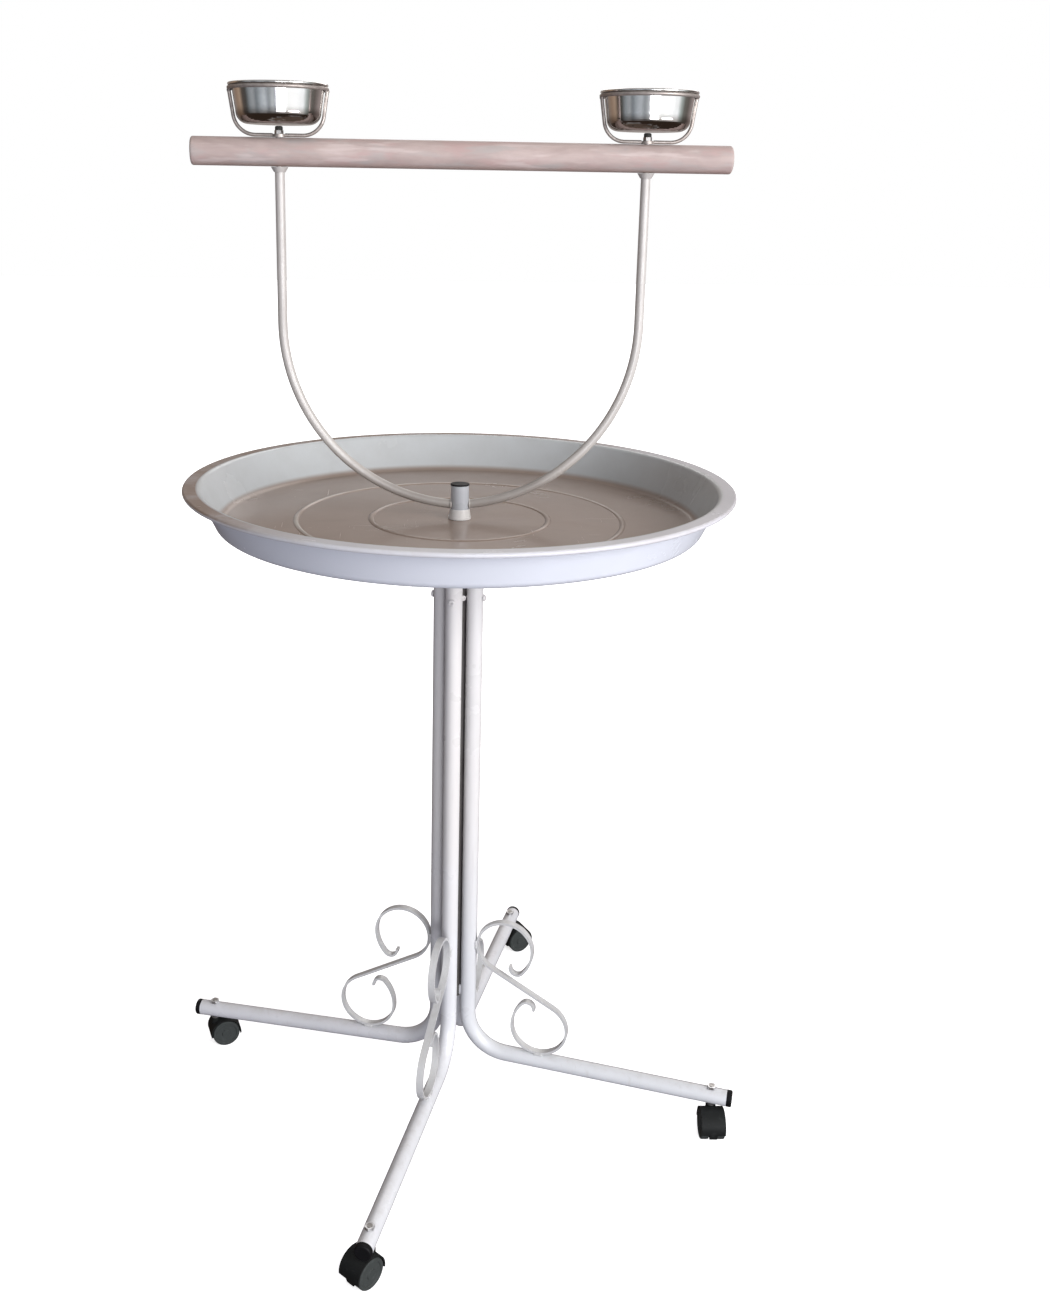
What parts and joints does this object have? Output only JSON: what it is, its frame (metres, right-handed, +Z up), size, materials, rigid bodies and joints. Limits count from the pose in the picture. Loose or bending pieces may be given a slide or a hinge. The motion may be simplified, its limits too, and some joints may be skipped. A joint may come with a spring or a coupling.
{
  "type": "bird play stand",
  "caption": "Bird play stand: wooden perch with lift-out steel feed cups on a U-shaped rod, round seed tray, column of bent tubes with scrolls, swivel casters.",
  "frame": {"origin": "on the floor, on the column's axis", "axes": "+Z up, along the column; X along the perch; the front leg points to -Y"},
  "size_m": [0.6566, 0.6624, 1.1803],
  "materials": {
    "white_paint": "gloss powder coat, faintly lavender white",
    "grey_white_paint": "satin powder coat, light grey white",
    "dark_steel": "dull dark steel, unpainted",
    "tray_shell": "glossy moulded plastic",
    "perch_wood": "sanded pale wood with fine grain",
    "cup_steel": "mirror-polished stainless steel",
    "wire_steel": "bright drawn wire and zinc plate",
    "black_plastic": "black moulded plastic",
    "wheel_plastic": "dark moulded nylon"
  },
  "bodies": {
    "stand": {"leg_tube_right": "white_paint", "leg_tube_back": "white_paint", "leg_tube_left": "white_paint", "leg_tube_front": "white_paint", "scroll_right": "grey_white_paint", "scroll_back": "grey_white_paint", "scroll_left": "grey_white_paint", "scroll_front": "grey_white_paint", "leg_end_caps": "black_plastic", "centre_tube": "dark_steel", "tray_support": "white_paint", "column_screws": "white_paint", "post_set_screw": "white_paint", "tray": "tray_shell", "caster_nuts": "wire_steel", "caster_stem_right": "wire_steel", "caster_stem_back": "wire_steel", "caster_stem_left": "wire_steel", "caster_stem_front": "wire_steel"},
    "collar": {"tray_collar": "tray_shell"},
    "perch_frame": {"post_tube": "white_paint", "post_cap": "black_plastic", "u_rod": "grey_white_paint", "perch": "perch_wood", "perch_stop_collars": "grey_white_paint", "cup_ring_left": "wire_steel", "cup_ring_right": "wire_steel", "cup_bracket_left": "wire_steel", "cup_bracket_right": "wire_steel", "holder_nuts": "wire_steel", "thread_caps": "black_plastic"},
    "cup_left": {"feed_cup_left": "cup_steel"},
    "cup_right": {"feed_cup_right": "cup_steel"},
    "caster_right": {"caster_hood_right": "black_plastic", "caster_axle_right": "wire_steel"},
    "wheel_right_a": {"caster_wheel_right_a": "wheel_plastic"},
    "wheel_right_b": {"caster_wheel_right_b": "wheel_plastic"},
    "caster_back": {"caster_hood_back": "black_plastic", "caster_axle_back": "wire_steel"},
    "wheel_back_a": {"caster_wheel_back_a": "wheel_plastic"},
    "wheel_back_b": {"caster_wheel_back_b": "wheel_plastic"},
    "caster_left": {"caster_hood_left": "black_plastic", "caster_axle_left": "wire_steel"},
    "wheel_left_a": {"caster_wheel_left_a": "wheel_plastic"},
    "wheel_left_b": {"caster_wheel_left_b": "wheel_plastic"},
    "caster_front": {"caster_hood_front": "black_plastic", "caster_axle_front": "wire_steel"},
    "wheel_front_a": {"caster_wheel_front_a": "wheel_plastic"},
    "wheel_front_b": {"caster_wheel_front_b": "wheel_plastic"}
  },
  "joints": [
    {"name": "perch_lift", "type": "slide", "parent": "stand", "child": "collar", "axis": [0, 0, 1], "range_m": [0, 0.1]},
    {"name": "perch_swivel", "type": "hinge", "parent": "collar", "child": "perch_frame", "pos_m": [0, 0, 0.733], "axis": [0, 0, 1], "continuous": true},
    {"name": "cup_left_lift", "type": "slide", "parent": "perch_frame", "child": "cup_left", "axis": [0, 0, 1], "range_m": [0, 0.06]},
    {"name": "cup_right_lift", "type": "slide", "parent": "perch_frame", "child": "cup_right", "axis": [0, 0, 1], "range_m": [0, 0.06]},
    {"name": "caster_right_swivel", "type": "hinge", "parent": "stand", "child": "caster_right", "pos_m": [0.30261, -0.09774, 0.03], "axis": [0, 0, 1], "continuous": true},
    {"name": "wheel_right_a_spin", "type": "hinge", "parent": "caster_right", "child": "wheel_right_a", "pos_m": [0.31142, -0.10922, 0.017], "axis": [0.9986, -0.0523, 0], "continuous": true},
    {"name": "wheel_right_b_spin", "type": "hinge", "parent": "caster_right", "child": "wheel_right_b", "pos_m": [0.29264, -0.10823, 0.017], "axis": [0.9986, -0.0523, 0], "continuous": true},
    {"name": "caster_back_swivel", "type": "hinge", "parent": "stand", "child": "caster_back", "pos_m": [0.09774, 0.30261, 0.03], "axis": [0, 0, 1], "continuous": true},
    {"name": "wheel_back_a_spin", "type": "hinge", "parent": "caster_back", "child": "wheel_back_a", "pos_m": [0.10397, 0.31567, 0.017], "axis": [-0.4067, 0.9135, 0], "continuous": true},
    {"name": "wheel_back_b_spin", "type": "hinge", "parent": "caster_back", "child": "wheel_back_b", "pos_m": [0.11161, 0.29849, 0.017], "axis": [-0.4067, 0.9135, 0], "continuous": true},
    {"name": "caster_left_swivel", "type": "hinge", "parent": "stand", "child": "caster_left", "pos_m": [-0.30261, 0.09774, 0.03], "axis": [0, 0, 1], "continuous": true},
    {"name": "wheel_left_a_spin", "type": "hinge", "parent": "caster_left", "child": "wheel_left_a", "pos_m": [-0.29484, 0.10995, 0.017], "axis": [-0.2924, 0.9563, 0], "continuous": true},
    {"name": "wheel_left_b_spin", "type": "hinge", "parent": "caster_left", "child": "wheel_left_b", "pos_m": [-0.28934, 0.09197, 0.017], "axis": [-0.2924, 0.9563, 0], "continuous": true},
    {"name": "caster_front_swivel", "type": "hinge", "parent": "stand", "child": "caster_front", "pos_m": [-0.09774, -0.30261, 0.03], "axis": [0, 0, 1], "continuous": true},
    {"name": "wheel_front_a_spin", "type": "hinge", "parent": "caster_front", "child": "wheel_front_a", "pos_m": [-0.09887, -0.31703, 0.017], "axis": [0.7071, -0.7071, 0], "continuous": true},
    {"name": "wheel_front_b_spin", "type": "hinge", "parent": "caster_front", "child": "wheel_front_b", "pos_m": [-0.11216, -0.30374, 0.017], "axis": [0.7071, -0.7071, 0], "continuous": true}
  ]
}
